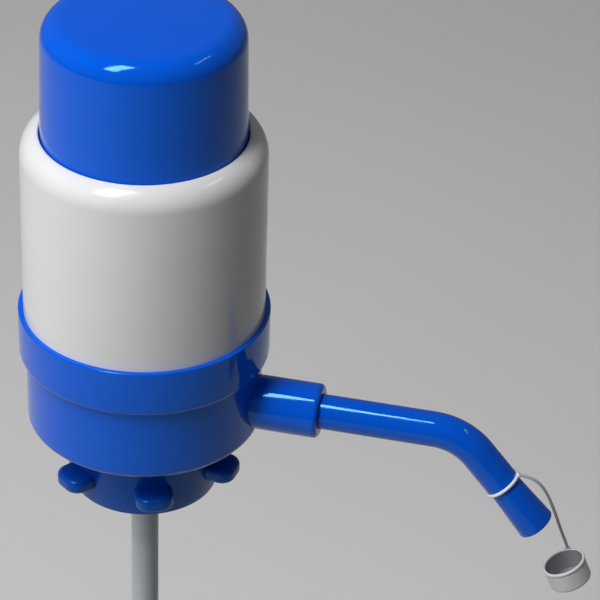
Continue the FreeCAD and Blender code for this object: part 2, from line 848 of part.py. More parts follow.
def dip_section(number):
    """One straight length of the dip tube, counted from the top."""
    pitch = dip_section_l + stop_rib_h
    top = -dip_top_gap - number * pitch
    return tube(dip_d / 2, dip_d / 2 - dip_wall, top - dip_section_l, top)


def coupling(number):
    """Sleeve over the joint below a dip tube section, with a stop rib between the two ends."""
    pitch = dip_section_l + stop_rib_h
    middle = -dip_top_gap - (number + 1) * pitch + stop_rib_h / 2
    bore_r = dip_d / 2 + dip_fit
    body = tube(bore_r + coupling_wall, bore_r, middle - coupling_l / 2, middle + coupling_l / 2)
    half_rib = stop_rib_h / 2
    rib_in_r = dip_d / 2 - dip_wall
    return body.fuse(tube(bore_r + stop_rib_bite, rib_in_r, middle - half_rib, middle + half_rib))


def foot_strainer():
    """Slotted foot on the lowest section, which keeps it off the jug's bottom."""
    end = -dip_top_gap - 3 * dip_section_l - 2 * stop_rib_h
    low = end + foot_grip_l - foot_l
    bore_r = dip_d / 2 + dip_fit
    out_r = bore_r + coupling_wall
    body = turned(
        (0, low),
        (out_r - foot_edge, low),
        (out_r, low + foot_edge),
        (out_r, end + foot_grip_l),
        (bore_r, end + foot_grip_l),
        (bore_r, end),
        (dip_d / 2 - dip_wall, end),
        (dip_d / 2 - dip_wall, low + coupling_wall),
        (0, low + coupling_wall),
    )
    for k in range(foot_slots):
        slot = Part.makeBox(out_r + cut_spare, foot_slot_width, foot_slot_h)
        slot.translate(Vector(0, -foot_slot_width / 2, low + coupling_wall))
        slot.rotate(Vector(0, 0, 0), Vector(0, 0, 1), 360.0 * k / foot_slots)
        body = body.cut(slot)
    return body


def write(name, shape):
    """Checks a piece and writes its file."""
    print("%s: solids %d, volume %.1f, valid %s" % (name, len(shape.Solids), shape.Volume, shape.isValid()))
    shape.exportStep("parts/%s.step" % name)


os.makedirs("parts", exist_ok=True)
write("press_cap", press_cap())
write("sleeve", sleeve())
write("base_housing", base_housing())
write("outlet_pipe", outlet_pipe())
write("clamp_ring", clamp_ring())
write("collet", collet())
write("neck_gasket", neck_gasket())
write("valve_plate", valve_plate())
write("plate_seal", plate_seal())
write("bellows_clamp_ring", bellows_clamp_ring())
write("base_screws", base_screws())
write("top_plate", top_plate())
write("top_screws", top_screws())
write("bellows", bellows())
write("return_spring", return_spring())
write("intake_valve_disc", valve_disc(top_plate_z))
write("intake_valve_cage", valve_cage(top_plate_z))
write("delivery_valve_disc", valve_disc(plate_z))
write("delivery_valve_cage", valve_cage(plate_z))
write("spout_tube", spout_tube())
write("spout_oring_inner", spout_oring(0))
write("spout_oring_outer", spout_oring(1))
write("tether_ring", tether_ring())
write("tether_strap", tether_strap())
write("spout_cap", spout_cap())
write("dip_tube_upper", dip_section(0))
write("dip_tube_middle", dip_section(1))
write("dip_tube_lower", dip_section(2))
write("coupling_upper", coupling(0))
write("coupling_lower", coupling(1))
write("foot_strainer", foot_strainer())
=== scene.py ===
"""Looks of a hand pump for a large water jug: moulded blue and white plastic, a bent spout, and a small
cap that hangs from the spout on a strap. Metres, in the frame of the packed part: +Z up, the spout along
+X, and the origin where the jug's rim meets the gasket."""
import math

import bmesh
import bpy
from mathutils import Matrix, Vector


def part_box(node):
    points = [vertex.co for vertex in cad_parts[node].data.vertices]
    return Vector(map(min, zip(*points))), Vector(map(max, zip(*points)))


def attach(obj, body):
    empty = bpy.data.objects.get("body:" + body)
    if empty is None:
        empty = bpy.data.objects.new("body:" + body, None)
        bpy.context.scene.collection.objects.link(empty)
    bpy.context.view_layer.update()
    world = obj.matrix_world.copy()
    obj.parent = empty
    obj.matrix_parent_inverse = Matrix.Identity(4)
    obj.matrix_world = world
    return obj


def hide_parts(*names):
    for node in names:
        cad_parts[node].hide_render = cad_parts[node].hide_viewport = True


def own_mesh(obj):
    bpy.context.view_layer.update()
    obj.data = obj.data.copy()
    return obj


bl_info = {
    "name": "Water Jug Hand Pump",
    "version": (1, 0, 0),
    "blender": (4, 5, 0),
    "location": "View3D > Sidebar > Jug Pump",
    "description": "Builds the looks of a hand pump for a large water jug around its packed parts",
    "category": "Object",
}

MM = 0.001
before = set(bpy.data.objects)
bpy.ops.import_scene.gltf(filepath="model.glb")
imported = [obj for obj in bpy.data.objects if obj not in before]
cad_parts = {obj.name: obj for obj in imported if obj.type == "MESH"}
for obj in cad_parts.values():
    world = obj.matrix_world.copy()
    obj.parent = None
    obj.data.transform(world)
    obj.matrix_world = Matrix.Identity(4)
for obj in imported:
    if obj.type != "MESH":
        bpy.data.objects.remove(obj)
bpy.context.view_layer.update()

# Places that the pieces share
SPOUT_AXIS_Z = 10.0 * MM
BEND = math.radians(49.7)
NOZZLE_LINE = Vector((math.cos(BEND), 0, -math.sin(BEND)))

# Clearance between pieces that are fitted together, how far the floor is under the pump's foot, and a length
# that is taken for none
FIT = 0.05 * MM
FLOOR_GAP = 0.5 * MM
TINY = 0.001 * MM

# Degrees to a step in the curves of a section, and steps to a turn of the spring
ARC_STEP = 8
SPRING_STEPS = 48


def linear(hex_colour):
    """The linear colour of an sRGB hex value such as 1764d6."""
    channels = [int(hex_colour[i : i + 2], 16) / 255 for i in (0, 2, 4)]
    return [c / 12.92 if c <= 0.04045 else ((c + 0.055) / 1.055) ** 2.4 for c in channels] + [1.0]


def length(name, description, millimetres):
    """A length that a user can change, given in millimetres."""
    return bpy.props.FloatProperty(
        name=name, description=description, default=millimetres * MM, unit="LENGTH", precision=5
    )


def angle(name, description, degrees):
    """An angle that a user can change, given in degrees."""
    return bpy.props.FloatProperty(
        name=name, description=description, default=math.radians(degrees), unit="ROTATION"
    )


def colour(name, description, hex_colour):
    """A colour that a user can change, given as sRGB hex."""
    default = linear(hex_colour)
    return bpy.props.FloatVectorProperty(
        name=name, description=description, default=default, subtype="COLOR", size=4, min=0.0, max=1.0
    )


class PumpColours(bpy.types.PropertyGroup):
    """Colours of the plastics, rubbers and stage"""

    cap_blue: colour("Cap and base blue", "Pigment of the press cap and the base", "0059dd")
    # The clamp ring's colour is the blue pigment darkened with painted shade, for the shade that falls on it
    # under the cup and the jug
    ring_blue_with_painted_shade: colour("Clamp ring blue", "Pigment of the clamp ring, darkened as painted shade", "0042a6")
    spout_blue: colour("Spout blue", "Pigment of the spout tube", "0056d6")
    sleeve_white: colour("Sleeve white", "Pigment of the outer sleeve", "e6e6e5")
    inner_white: colour("Inner white", "Unpainted inner mouldings", "dcdcd6")
    bellows_milk: colour("Bellows", "Milky soft plastic of the bellows", "d3d6d2")
    tube_milk: colour("Dip tube", "Milky extruded plastic of the dip tube", "d5dce0")
    seal_pale: colour("Seals", "Pale silicone of the gasket, plate seal and valve discs", "c9c8c1")
    seal_black: colour("O-rings", "Black nitrile rubber of the O-rings", "141416")
    steel: colour("Steel", "Stainless steel of the spring and the screws", "b9b8b4")
    tether_white: colour("Tether ring", "Bluish white of the ring round the nozzle", "e4ecf6")
    cap_grey: colour("Spout cap", "Grey of the spout cap", "d8d8dc")
    # The cup's inside is the cap's grey made darker: painted shade in its hollow
    cap_inside_painted_shade: colour("Spout cap inside, painted shade", "Darker grey of the cup's inside", "929296")
    strap_grey: colour("Strap", "Grey of the strap", "b4b4b8")
    floor_grey: colour("Floor", "Plain pale floor", "e6e6e6")
    floor_bounce: colour("Floor bounce", "What the floor throws back on the pump", "707070")
    backdrop_grey: colour("Backdrop", "Plain backdrop beyond the floor", "6e6e6e")


class PumpSizes(bpy.types.PropertyGroup):
    """Sizes of the press cap and the sleeve that the packed boxes don't give"""

    edge: length("Edge rounding", "Rounding on the plain edges of a moulding", 0.35)
    cap_wall: length("Cap wall", "Wall of the press cap", 2.2)
    cap_side: length("Cap side radius", "Radius of the press cap where it slides in the sleeve's lip", 41.7)
    cap_draft: length("Cap draft", "How much the cap's side leans in from the lip to its top edge", 0.7)
    cap_edge: length("Cap edge rounding", "Large rounding round the cap's top", 9.0)
    cap_crown: length("Cap crown", "Rise of the cap's top above the end of its edge rounding", 0.95)
    cap_land: length("Cap land", "How far the cap's straight side stands over the lip", 1.0)
    cap_rib: length("Cap rib", "Wall of the rib that clamps the bellows", 3.0)
    cap_flange: length("Cap flange", "Thickness of the flange that stops under the sleeve's shoulder", 2.4)
    sleeve_wall: length("Sleeve wall", "Wall of the sleeve", 2.2)
    sleeve_radius: length("Sleeve radius", "Outside radius of the sleeve", 50.0)
    shoulder: length("Sleeve shoulder", "Outside rounding of the sleeve's shoulder", 10.5)
    lip_radius: length("Lip radius", "Radius of the sleeve's opening round the cap", 42.1)
    lip_edge: length("Lip edge", "Rounding of the sleeve's lip", 0.8)
    bead_drop: length("Bead drop", "From the collar's rim to the top of the sleeve's snap bead", 5.0)
    bead_height: length("Bead height", "Height of the snap bead", 1.4)
    bead_rise: length("Bead rise", "How far the snap bead stands out", 0.55)


class PumpBaseSizes(bpy.types.PropertyGroup):
    """Sizes of the base housing, its socket and the clamp ring"""

    cup_radius: length("Cup radius", "Outside radius of the base's cup", 49.2)
    cup_wall: length("Cup wall", "Wall of the base's cup", 2.6)
    cup_edge: length("Cup bottom rounding", "Rounding round the cup's bottom", 4.0)
    collar_edge: length("Collar lower rounding", "Rounding under the collar band", 2.8)
    collar_foot: length("Collar foot", "Height of the collar's lower edge", 29.0)
    collar_rim: length("Collar rim", "Rounding of the collar's upper rim", 0.6)
    collar_bore: length("Collar bore", "Inside radius of the collar band", 50.15)
    shelf: length("Shelf height", "Height of the shelf that carries the valve plate", 31.6)
    skirt_bore: length("Skirt bore", "Inside radius of the neck skirt", 28.2)
    skirt_wall: length("Skirt wall", "Wall of the neck skirt", 1.8)
    floor_top: length("Floor top", "Upper face of the base's floor", 4.5)
    air_hole: length("Air hole", "Radius of the air holes in the floor", 2.2)
    air_hole_place: length("Air hole place", "From the axis to the air holes", 14.0)
    spigot_drop: length("Spigot drop", "How far the spigot hangs under the floor", 16.0)
    spigot_radius: length("Spigot radius", "Outside radius of the spigot that holds the dip tube", 8.2)
    spigot_bore: length("Spigot bore", "Inside radius of the spigot", 5.9)
    column_radius: length("Column radius", "Outside radius of the column over the dip tube", 8.5)
    channel_radius: length("Channel radius", "Outside radius of the water channel", 6.5)
    channel_bore: length("Channel bore", "Inside radius of the water channel", 4.5)
    socket_radius: length("Socket radius", "Outside radius of the socket", 11.5)
    socket_bore: length("Socket bore", "Inside radius of the socket", 7.5)
    socket_depth: length("Socket depth", "Depth of the socket's bore", 25.8)
    socket_edge: length("Socket edge", "Rounding of the socket's outer end", 2.0)
    boss_radius: length("Boss radius", "Radius of the screw bosses", 3.6)
    screw_head: length("Screw head", "Radius of the base screws' heads", 3.1)
    ring_gap: length("Clamp ring gap", "Running gap in the clamp ring", 0.1)
    ring_below: length("Clamp ring drop", "From the cup's bottom to the clamp ring", 0.8)
    ring_cone: length("Clamp ring cone", "How far the ring's cone narrows", 0.95)
    ring_cone_height: length("Cone height", "From the collet's foot to the top of the cone", 5.7)
    ring_foot: length("Clamp ring foot", "Outside radius of the clamp ring's lower end", 30.8)
    ring_wall: length("Clamp ring wall", "Wall of the clamp ring over the skirt", 2.3)
    ring_taper: length("Clamp ring taper", "Height of the clamp ring's taper", 7.5)
    lobe_reach: length("Lobe reach", "Radius of the grip lobes' tips", 42.4)
    lobe_width: length("Lobe width", "Width of a grip lobe of the clamp ring", 16.0)
    lobe_height: length("Lobe height", "Height of a grip lobe", 6.6)
    lobe_corner: length("Lobe corner", "Rounding of a grip lobe's tip, seen from above", 6.0)
    lobe_edge: length("Lobe edge", "Rounding of a grip lobe's rims", 2.2)
    lobe_drop: length("Lobe drop", "From the ring's top to the middle of its lobes", 18.3)
    lobe_root: length("Lobe root", "From the clamp ring's bore to where a lobe starts", 0.2875)
    lobe_turn: angle("Lobe turn", "How far the lobes are turned", -8.0)


class PumpSpoutSizes(bpy.types.PropertyGroup):
    """Sizes of the spout tube, the tether and the spout cap"""

    tube_radius: length("Tube radius", "Outside radius of the spout tube", 7.4)
    tube_bore: length("Tube bore", "Inside radius of the spout tube", 4.9)
    bend_radius: length("Bend radius", "Centre-line radius of the spout's bend", 25.0)
    bend_corner: length("Bend corner", "Where the centre lines before and after the bend cross", 135.5)
    nozzle: length("Nozzle length", "From the bend corner to the tip", 53.1)
    waist_radius: length("Waist radius", "Outside radius of the nozzle under the tether ring", 6.8)
    tip_radius: length("Tip radius", "Outside radius of the spout's tip", 8.15)
    tip_bore: length("Tip bore", "Inside radius of the spout's tip", 5.65)
    tip_edge: length("Tip edge", "Rounding of the spout's tip", 1.4)
    tube_edge: length("Tube edge", "Edge rounding of the spout tube", 0.15)
    soft_edge: length("Soft edge", "Edge rounding of the tether ring and the spout cap", 0.2)
    groove_depth: length("Groove depth", "Depth of the O-rings' grooves", 1.5)
    groove_half: length("Groove width", "Half the width of the O-rings' grooves", 1.0)
    strap_width: length("Strap", "Diameter of the strap", 1.3)
    ring_from_tip: length("Ring from tip", "From the spout's tip to the tether ring", 24.3)
    ring_wire: length("Ring thickness", "Half the thickness of the tether ring", 0.75)
    ring_radius: length("Ring radius", "Radius of the tether ring's centre line", 7.646)
    eye_radius: length("Eye radius", "Radius of the eye that the strap leaves from", 1.0)
    eye_length: length("Eye length", "How far the eye reaches past the ring's centre line", 1.55)
    cup_bore: length("Spout cap bore", "Inside radius of the spout cap", 8.25)
    cup_wall: length("Spout cap wall", "Wall of the spout cap", 0.75)
    cup_height: length("Spout cap height", "Height of the spout cap", 9.9)
    cup_edge: length("Spout cap rounding", "Rounding round the spout cap's bottom", 1.3)
    cup_floor: length("Spout cap floor", "Thickness of the spout cap's bottom", 1.0)
    cup_fillet: length("Spout cap fillet", "Fillet between the spout cap's bottom and its wall", 0.5)
    cup_bead: length("Spout cap bead", "How far the grip bead stands out at the cap's mouth", 0.35)
    cup_bead_height: length("Bead height", "Height of the grip bead", 1.4)
    ear_radius: length("Ear radius", "Radius of the ear that holds the strap", 1.3)
    ear_height: length("Ear height", "Height of the ear that holds the strap", 2.4)
    ear_place: length("Ear place", "From the spout cap's side to the ear's axis", 0.95)


class PumpInnerSizes(bpy.types.PropertyGroup):
    """Sizes of the bellows, the spring and the dip tube"""

    crest: length("Crest", "How far the bellows' crests stand out past the top plate", 1.3)
    fold: length("Fold", "From the bellows' crests to their roots", 5.8)
    folds: bpy.props.IntProperty(name="Folds", description="Number of crests of the bellows", default=9)
    bellows_wall: length("Bellows wall", "Wall of the bellows", 1.2)
    bellows_foot: length("Bellows foot", "From the bellows' lower end to the folds", 4.6)
    bellows_cuff: length("Bellows cuff", "From the folds to the bellows' upper end", 6.6)
    rim: length("Bellows rim", "Thickness of the bellows' rims at both ends", 1.6)
    rim_width: length("Rim width", "Width of the bellows' upper rim", 5.0)
    wire: length("Wire", "Radius of the spring's wire", 1.1)
    coil: length("Coil", "Pitch of the spring", 12.0)
    dip_wall: length("Dip tube wall", "Wall of the dip tube", 1.2)
    dip_edge: length("Dip tube edge", "Edge rounding of the dip tube's ends", 0.25)
    grip: length("Grip", "How far a coupling's grip band stands out", 0.3)
    grip_half: length("Grip band", "Half the height of a coupling's grip band", 2.4)
    grip_foot: length("Grip foot", "Half the height of the band's foot", 3.0)
    coupling_edge: length("Coupling edge", "Edge rounding of the couplings", 0.3)


class PumpView(bpy.types.PropertyGroup):
    """Camera"""

    lens: bpy.props.FloatProperty(name="Lens", description="Focal length", default=186.0, unit="CAMERA")
    distance: length("Camera distance", "From the point that the camera turns round", 1278.9)
    centre: length("Camera centre", "Height of the point that the camera turns round", 56.0)
    azimuth: angle("Azimuth", "Camera's place round the pump", 15.83)
    elevation: angle("Elevation", "Camera's height as an angle", 33.06)
    yaw: angle("Yaw", "How far the camera looks to the right of the pump", 3.431)
    pitch: angle("Pitch", "How far the camera looks down", 33.174)
    roll: angle("Roll", "How far the camera leans", 1.762)


GROUPS = {
    "pump_colours": PumpColours,
    "pump_sizes": PumpSizes,
    "pump_base_sizes": PumpBaseSizes,
    "pump_spout_sizes": PumpSpoutSizes,
    "pump_inner_sizes": PumpInnerSizes,
    "pump_view": PumpView,
}

# The strap's route in mm, the same points as the packed strap
STRAP_ROUTE = [
    (160.7, 0.0, -6.2),
    (165.5, 0.6, -6.9),
    (170.1, 1.9, -10.9),
    (173.5, 3.7, -18.0),
    (176.5, 5.4, -27.0),
    (179.4, 7.1, -36.9),
    (182.4, 9.3, -46.4),
]
SPOUT_CAP_PLACE = Vector((182.3 * MM, 0, -47.4 * MM))
SPOUT_CAP_TILT = math.radians(24.3)

# Each lamp's direction from the pump, distance, width and height in metres, power in watts, and whether it
# shows in reflections
LAMPS = {
    "key": ((-0.229, -0.427, 0.874), 2.0, 0.42, 1.15, 27.6, True),
    "front": ((-0.656, -0.656, 0.375), 2.2, 2.4, 2.0, 23.5, False),
    "left": ((-0.763, 0.067, 0.643), 2.0, 1.0, 0.9, 6.5, False),
    "right": ((0.62, 0.166, 0.766), 2.0, 0.7, 0.15, 1.4, True),
}
LIT_PLACE = Vector((0, 0, 0.08))


def draw_to(bm, pen, place):
    """Draws a straight edge from a vertex to a place, and returns its end."""
    pen = bmesh.ops.extrude_vert_indiv(bm, verts=[pen])["verts"][0]
    pen.co = place
    return pen


def draw_arc(bm, pen, centre, axis, degrees, steps):
    """Draws an arc from a vertex round a centre, and returns its end."""
    turn = math.radians(degrees)
    return bmesh.ops.spin(bm, geom=[pen], cent=centre, axis=axis, angle=turn, steps=steps)["geom_last"][0]


def outline(bm, start, *steps, closed=True):
    """Draws a section in the XZ plane. A step is (x, z), a straight run to that point, or (x, z, degrees),
    an arc about that centre, which turns from +X towards +Z where it is positive."""
    first = bm.verts.new((start[0], 0, start[1]))
    pen = first
    for x, z, *degrees in steps:
        if degrees:
            steps_round = max(3, round(abs(degrees[0]) / ARC_STEP))
            pen = draw_arc(bm, pen, (x, 0, z), (0, -1, 0), degrees[0], steps_round)
        else:
            pen = draw_to(bm, pen, (x, 0, z))
    if closed:
        bm.edges.new((pen, first))


def spin_round(bm, segments):
    """Turns the outline round the Z axis into a shell with its faces outwards. Runs on the axis go."""
    on_axis = [edge for edge in bm.edges if all(abs(vert.co.x) < TINY for vert in edge.verts)]
    bmesh.ops.delete(bm, geom=on_axis, context="EDGES")
    section = bm.verts[:] + bm.edges[:]
    bmesh.ops.spin(bm, geom=section, axis=(0, 0, 1), angle=math.tau, steps=segments, use_merge=True)
    bmesh.ops.remove_doubles(bm, verts=bm.verts, dist=2 * TINY)
    bmesh.ops.recalc_face_normals(bm, faces=bm.faces)


def turned(segments, start, *steps):
    """A new shell of revolution about Z, from the steps of its section."""
    bm = bmesh.new()
    outline(bm, start, *steps)
    spin_round(bm, segments)
    return bm


def finished_mesh(name, bm):
    """The mesh of a shell, which is then used up."""
    mesh = bpy.data.meshes.new(name)
    bm.to_mesh(mesh)
    bm.free()
    return mesh


def join(bm, other):
    """Adds another shell to this one."""
    mesh = finished_mesh("joined", other)
    bm.from_mesh(mesh)
    bpy.data.meshes.remove(mesh)


def place_shell(bm, turn, axis, origin):
    """Turns a shell about its own origin, and moves that to a place."""
    bmesh.ops.rotate(bm, verts=bm.verts, cent=(0, 0, 0), matrix=Matrix.Rotation(turn, 3, axis))
    bmesh.ops.translate(bm, verts=bm.verts, vec=origin)


def add_rod(bm, radius, depth, middle, segments, turn=0.0):
    """Adds a closed round bar, upright or turned about Y."""
    place = Matrix.Translation(middle) @ Matrix.Rotation(turn, 4, "Y")
    bmesh.ops.create_cone(
        bm, cap_ends=True, segments=segments, radius1=radius, radius2=radius, depth=depth, matrix=place
    )


def corners(reach, z):
    """The corners of a level square about the axis, whose sides are twice the reach."""
    return [(x * reach, y * reach, z) for x, y in ((1, 1), (-1, 1), (-1, -1), (1, -1))]


def add_object(name, data):
    """Puts an object into the scene, with its own origin at the scene's."""
    thing = bpy.data.objects.new(name, data)
    bpy.context.collection.objects.link(thing)
    return thing


def make_piece(name, bm, body, material, node, edge=None):
    """Makes a shell a finished piece that rides on a body and stands for a packed node."""
    for face in bm.faces:
        face.smooth = True
    mesh = finished_mesh(name, bm)
    mesh.materials.append(bpy.data.materials[material])
    mesh.set_sharp_from_angle(angle=math.radians(32))
    piece = add_object(name, mesh)
    if edge:
        bevel = piece.modifiers.new("Edge rounding", "BEVEL")
        bevel.width = edge
        bevel.segments = 3
        bevel.limit_method = "ANGLE"
        bevel.angle_limit = math.radians(40)
        bevel.harden_normals = True
    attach(piece, body)
    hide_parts(node)
    return piece


def cut_holes(piece, cutter):
    """Cuts closed shells out of a piece for good."""
    mesh = finished_mesh("cutter", cutter)
    tool = add_object("cutter", mesh)
    cut = piece.modifiers.new("Holes", "BOOLEAN")
    cut.operation = "DIFFERENCE"
    cut.object = tool
    bpy.context.view_layer.objects.active = piece
    bpy.ops.object.modifier_move_to_index(modifier=cut.name, index=0)
    bpy.ops.object.modifier_apply(modifier=cut.name)
    bpy.data.objects.remove(tool)
    bpy.data.meshes.remove(mesh)


def dress(material_name, *nodes):
    """Gives packed nodes that keep their shape a material."""
    material = bpy.data.materials[material_name]
    for name in nodes:
        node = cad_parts[name]
        if not node.material_slots:
            node.data.materials.append(material)
        for slot in node.material_slots:
            slot.material = material


def add_node(tree, kind, inputs=None, **settings):
    """Adds a shader node. An input's value is a plain value, or the output socket that feeds it."""
    made = tree.nodes.new(kind)
    for key, value in settings.items():
        setattr(made, key, value)
    for key, value in (inputs or {}).items():
        if isinstance(value, bpy.types.NodeSocket):
            tree.links.new(value, made.inputs[key])
        else:
            made.inputs[key].default_value = value
    return made


def pattern(coordinates, spacing_mm, detail, roughness=0.5):
    """The inputs of a pattern on object coordinates whose features are this far apart."""
    scale = 1.0 / (spacing_mm * MM)
    return {"Vector": coordinates, "Scale": scale, "Detail": detail, "Roughness": roughness}


def new_material(name, **principled):
    """Starts a material: its tree, its Principled shader with constants, and the object coordinates."""
    found = bpy.data.materials.get(name)
    if found:
        bpy.data.materials.remove(found)
    material = bpy.data.materials.new(name)
    material.use_nodes = True
    tree = material.node_tree
    tree.nodes.clear()
    shader = add_node(tree, "ShaderNodeBsdfPrincipled", principled)
    add_node(tree, "ShaderNodeOutputMaterial", {"Surface": shader.outputs["BSDF"]})
    return tree, shader, add_node(tree, "ShaderNodeTexCoord").outputs["Object"]


def mottle(tree, coordinates, base, spacing_mm, darker, lighter):
    """The base colour with a slight cloudy change, as pigment has that is not quite evenly mixed."""
    cloud = add_node(tree, "ShaderNodeTexNoise", pattern(coordinates, spacing_mm, 3.0, 0.55))
    ramp = add_node(tree, "ShaderNodeValToRGB", {"Fac": cloud.outputs["Fac"]})
    for stop, place, share in zip(ramp.color_ramp.elements, (0.3, 0.7), (darker, lighter)):
        stop.position = place
        stop.color = [min(1.0, c * share) for c in base[:3]] + [1.0]
    return ramp.outputs["Color"]


def spread(tree, coordinates, spacing_mm, low, high):
    """A number that wanders between two values over the surface, such as a roughness with hand marks."""
    marks = add_node(tree, "ShaderNodeTexNoise", pattern(coordinates, spacing_mm, 4.0, 0.6))
    ends = {"From Min": 0.35, "From Max": 0.65, "To Min": low, "To Max": high}
    return add_node(tree, "ShaderNodeMapRange", {"Value": marks.outputs["Fac"], **ends}).outputs["Result"]


def ripple(tree, coordinates, spacing_mm, height_mm, strength):
    """A bump from a fine even grain."""
    grain = add_node(tree, "ShaderNodeTexNoise", pattern(coordinates, spacing_mm, 2.0))
    inputs = {"Strength": strength, "Distance": height_mm * MM, "Height": grain.outputs["Fac"]}
    return add_node(tree, "ShaderNodeBump", inputs).outputs["Normal"]


def make_finish(name, base, cloud, marks, grain, **constants):
    """A material with a cloudy base colour, a roughness that wanders and a grain. Each is a spacing in mm
    with the colour's darker and lighter share, the roughness's ends, or the grain's height in mm and its
    strength."""
    tree, shader, where = new_material(name, **constants)
    tree.links.new(mottle(tree, where, base, *cloud), shader.inputs["Base Color"])
    tree.links.new(spread(tree, where, *marks), shader.inputs["Roughness"])
    tree.links.new(ripple(tree, where, *grain), shader.inputs["Normal"])


def moulded_abs(name, base, low, high, shine="ffffff"):
    """Injection-moulded ABS from a polished mould: a hard gloss with a faint ripple from the melt's flow,
    some 6 mm across, and hand marks some 18 mm across that dull it a little. A deep pigment colours the
    shine."""
    gloss = {"IOR": 1.54, "Metallic": 0.0, "Specular IOR Level": 0.5, "Specular Tint": linear(shine)}
    cloud, marks, grain = (25.0, 0.985, 1.012), (18.0, low, high), (6.0, 0.01, 0.2)
    make_finish(name, base, cloud, marks, grain, **gloss)


def soft_polyethylene(name, base, roughness):
    """Low-density polyethylene: waxy and half matt, with light that goes a little way in."""
    wax = {"IOR": 1.51, "Subsurface Weight": 0.12, "Subsurface Scale": 0.8 * MM, "Metallic": 0.0}
    cloud, marks, grain = (9.0, 0.94, 1.05), (7.0, roughness - 0.06, roughness + 0.08), (2.0, 0.02, 0.3)
    make_finish(name, base, cloud, marks, grain, **wax)


def milky_tube(name, base):
    """Extruded polypropylene: milky, with fine draw lines along the tube from the die, 0.6 mm apart."""
    clear = {"IOR": 1.49, "Transmission Weight": 0.25, "Metallic": 0.0, "Roughness": 0.3}
    tree, shader, where = new_material(name, **clear)
    stretched = add_node(tree, "ShaderNodeMapping", {"Vector": where, "Scale": (1.0, 1.0, 0.02)})
    lines = ripple(tree, stretched.outputs["Vector"], 0.6, 0.01, 0.25)
    tree.links.new(mottle(tree, where, base, 14.0, 0.96, 1.03), shader.inputs["Base Color"])
    tree.links.new(lines, shader.inputs["Normal"])


def silicone_rubber(name, base):
    """Moulded rubber: soft sheen and a fine matt grain from the mould, drawn at 0.8 mm so that it shows."""
    soft = {"IOR": 1.43, "Subsurface Weight": 0.08, "Subsurface Scale": 0.6 * MM, "Metallic": 0.0}
    cloud, marks, grain = (6.0, 0.95, 1.04), (4.0, 0.5, 0.62), (0.8, 0.02, 0.35)
    make_finish(name, base, cloud, marks, grain, **soft)


def drawn_steel(name, base):
    """Drawn stainless wire and screw stock: a metal with fine marks along its length."""
    cloud, marks, grain = (3.0, 0.92, 1.05), (1.2, 0.24, 0.4), (0.5, 0.01, 0.3)
    make_finish(name, base, cloud, marks, grain, Metallic=1.0)


def painted_floor(name, base, bounce):
    """Matt paint on a plain floor, with a very faint cloudiness from the roller. It looks pale, and throws
    less light back on the pump than it shows."""
    tree, shader, where = new_material(name, **{"Roughness": 0.9, "Specular IOR Level": 0.1})
    pale = mottle(tree, where, base, 400.0, 0.985, 1.015)
    # Sockets 6 and 7 are the node's two colours, and 2 is their mix
    inputs = {"Factor": seen_directly(tree), 6: bounce, 7: pale}
    mix = add_node(tree, "ShaderNodeMix", inputs, data_type="RGBA")
    tree.links.new(mix.outputs[2], shader.inputs["Base Color"])


def seen_directly(tree):
    """1 for a ray from the camera, a mirror or a clear body, and 0 for light that is thrown on."""
    path = add_node(tree, "ShaderNodeLightPath")
    share = path.outputs["Is Camera Ray"]
    for name in ("Is Glossy Ray", "Is Transmission Ray"):
        pair = {0: share, 1: path.outputs[name]}
        share = add_node(tree, "ShaderNodeMath", pair, operation="MAXIMUM").outputs[0]
    return share


class PUMP_OT_materials(bpy.types.Operator):
    """Makes the plastics, rubbers, steel and floor paint"""

    bl_idname = "pump.materials"
    bl_label = "Materials"

    def execute(self, context):
        colours = context.scene.pump_colours
        moulded_abs("Moulded ABS, blue", colours.cap_blue, 0.06, 0.1, "90deff")
        # The ring's blue is darker than the cap's: painted shade for the shade under the cup
        moulded_abs("Moulded ABS, ring blue with painted shade", colours.ring_blue_with_painted_shade, 0.26, 0.36, "90deff")
        moulded_abs("Moulded ABS, spout blue", colours.spout_blue, 0.05, 0.09, "90deff")
        moulded_abs("Moulded ABS, white", colours.sleeve_white, 0.14, 0.22)
        moulded_abs("Moulded ABS, inner white", colours.inner_white, 0.4, 0.5)
        soft_polyethylene("Blown polyethylene, milky", colours.bellows_milk, 0.42)
        soft_polyethylene("Polyethylene, grey", colours.cap_grey, 0.36)
        # A darker copy of the cap's grey, as painted shade inside the cup
        soft_polyethylene("Polyethylene, grey with painted shade", colours.cap_inside_painted_shade, 0.5)
        soft_polyethylene("Polyethylene, strap grey", colours.strap_grey, 0.4)
        soft_polyethylene("Polyethylene, bluish white", colours.tether_white, 0.3)
        milky_tube("Extruded polypropylene", colours.tube_milk)
        silicone_rubber("Silicone, pale", colours.seal_pale)
        silicone_rubber("Nitrile rubber, black", colours.seal_black)
        drawn_steel("Drawn stainless steel", colours.steel)
        painted_floor("Matt floor paint", colours.floor_grey, colours.floor_bounce)
        return {"FINISHED"}


